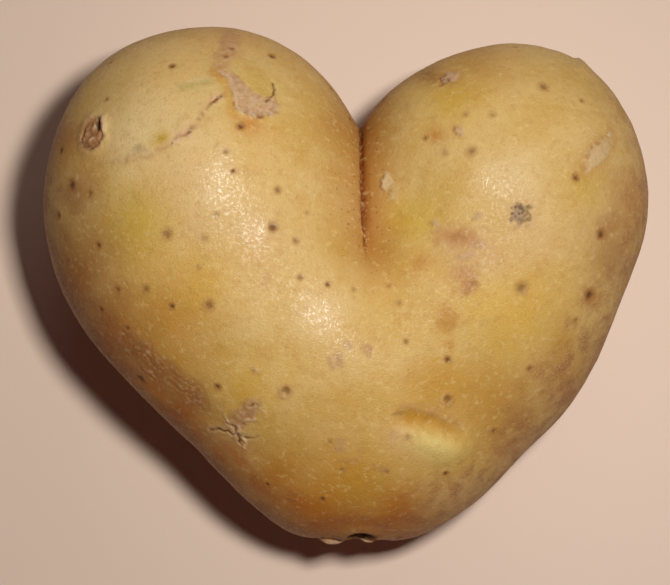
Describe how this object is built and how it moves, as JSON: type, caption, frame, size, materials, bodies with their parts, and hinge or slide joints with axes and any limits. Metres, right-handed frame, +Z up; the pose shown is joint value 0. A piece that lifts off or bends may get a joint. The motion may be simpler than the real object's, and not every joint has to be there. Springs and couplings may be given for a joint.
{
  "type": "potato",
  "caption": "Heart-shaped potato: two plump round arms pressed together along a cleft, joined in one blunt tip, lying on small flat spots.",
  "frame": {"origin": "under the middle of the potato, on the surface that it lies on", "axes": "+X from the left arm to the right arm, +Y from the blunt tip to the open end of the cleft, +Z up"},
  "size_m": [0.092, 0.0782, 0.0449],
  "materials": {
    "skin": "satin"
  },
  "bodies": {
    "root": {"potato": "skin"}
  },
  "joints": []
}
